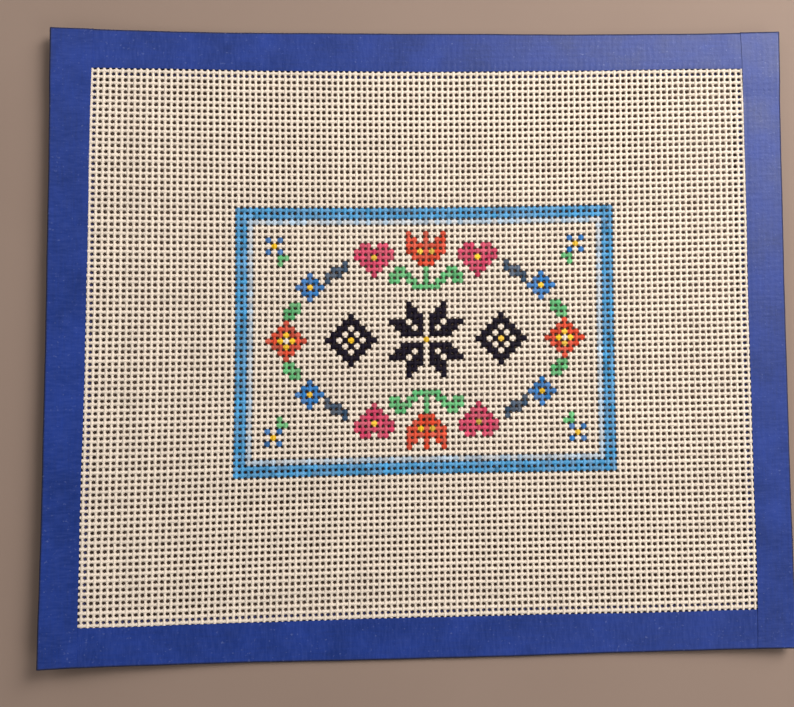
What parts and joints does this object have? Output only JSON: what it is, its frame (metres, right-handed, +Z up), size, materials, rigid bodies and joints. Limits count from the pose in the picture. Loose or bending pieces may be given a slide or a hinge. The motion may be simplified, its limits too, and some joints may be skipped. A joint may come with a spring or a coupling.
{
  "type": "needlepoint canvas panel",
  "caption": "Rectangular open-mesh needlepoint canvas with a painted design, its cut edges bound in folded blue tape, lying flat.",
  "frame": {"origin": "on the surface that the panel lies on, under the middle of its outline", "axes": "+X along the long side, +Y along the short side towards the top of the design, +Z up out of the painted face"},
  "size_m": [0.2442, 0.206, 0.008],
  "materials": {
    "canvas": "sized cream cotton threads, painted at the crossings",
    "tape": "dull blue binding tape"
  },
  "bodies": {
    "root": {"canvas": "canvas", "tape_top": "tape", "tape_right": "tape", "tape_bottom": "tape", "tape_left": "tape"}
  },
  "joints": []
}
